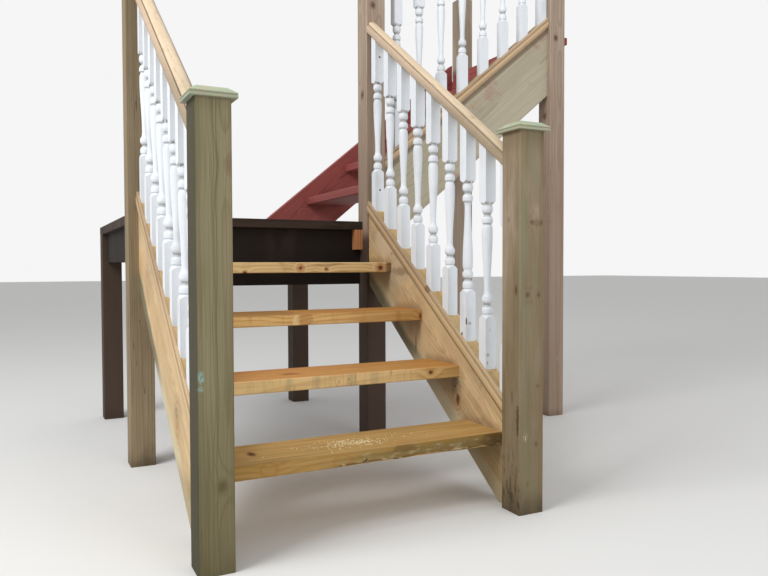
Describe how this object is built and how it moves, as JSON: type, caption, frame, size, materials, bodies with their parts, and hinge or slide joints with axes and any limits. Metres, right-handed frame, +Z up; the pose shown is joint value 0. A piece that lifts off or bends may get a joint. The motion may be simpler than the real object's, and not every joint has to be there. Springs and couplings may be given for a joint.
{
  "type": "wooden deck stairs with quarter landing",
  "caption": "Timber deck stair with a lower flight, quarter landing and upper flight turning right; open risers, housed treads, square newels and turned white spindles between grooved rails",
  "frame": {"origin": "on the floor, at the middle of the whole stair's plan", "axes": "+Z up; +Y is the way a person climbs the lower flight; +X is the way a person climbs the upper flight, to the right"},
  "size_m": [2.285, 2.2575, 3.0451],
  "materials": {
    "weathered_post": "weathered olive-brown treated pine",
    "pink_post": "treated pine with a pinkish cast",
    "green_cap": "pale green treated pine",
    "tread_pine": "new honey pine with knots",
    "stringer_pine": "honey to orange pine with knots",
    "stringer_olive": "tan-olive treated pine",
    "rail_pine": "planed pale pine",
    "handrail_tan": "planed peach-tan pine",
    "white_paint": "white satin paint",
    "yellow_fillet": "planed yellow pine",
    "dark_board": "dark grey-brown weathered boards",
    "dark_beam": "near-black brown timber",
    "orange_block": "orange-brown offcut",
    "red_timber": "brick-red stained timber",
    "steel_screw": "dull zinc"
  },
  "bodies": {
    "root": {"left_bottom_newel": "weathered_post", "right_bottom_newel": "weathered_post", "left_newel_cap": "green_cap", "right_newel_cap": "green_cap", "left_top_newel": "weathered_post", "right_top_newel": "pink_post", "left_stringer": "stringer_pine", "right_stringer": "stringer_pine", "tread_1": "tread_pine", "tread_2": "tread_pine", "tread_3": "tread_pine", "tread_4": "tread_pine", "left_base_rail": "rail_pine", "right_base_rail": "rail_pine", "left_handrail": "handrail_tan", "right_handrail": "handrail_tan", "left_spindles": "white_paint", "right_spindles": "white_paint", "left_fillets": "yellow_fillet", "right_fillets": "yellow_fillet", "landing_front_board": "dark_board", "landing_boards": "dark_board", "landing_front_beam": "dark_beam", "landing_rear_beam": "dark_beam", "landing_left_beam": "dark_beam", "landing_right_beam": "dark_beam", "landing_joists": "dark_beam", "landing_left_post": "weathered_post", "landing_right_post": "weathered_post", "packing_block": "orange_block", "upper_near_stringer": "stringer_olive", "upper_far_stringer": "red_timber", "upper_tread_1": "red_timber", "upper_tread_2": "red_timber", "upper_tread_3": "red_timber", "upper_tread_4": "red_timber", "upper_base_rail": "rail_pine", "upper_handrail": "handrail_tan", "upper_spindles": "white_paint", "upper_fillets": "yellow_fillet", "upper_near_newel": "pink_post", "upper_far_newel": "weathered_post", "upper_edge_beam": "red_timber", "upper_edge_board": "red_timber"}
  },
  "joints": []
}
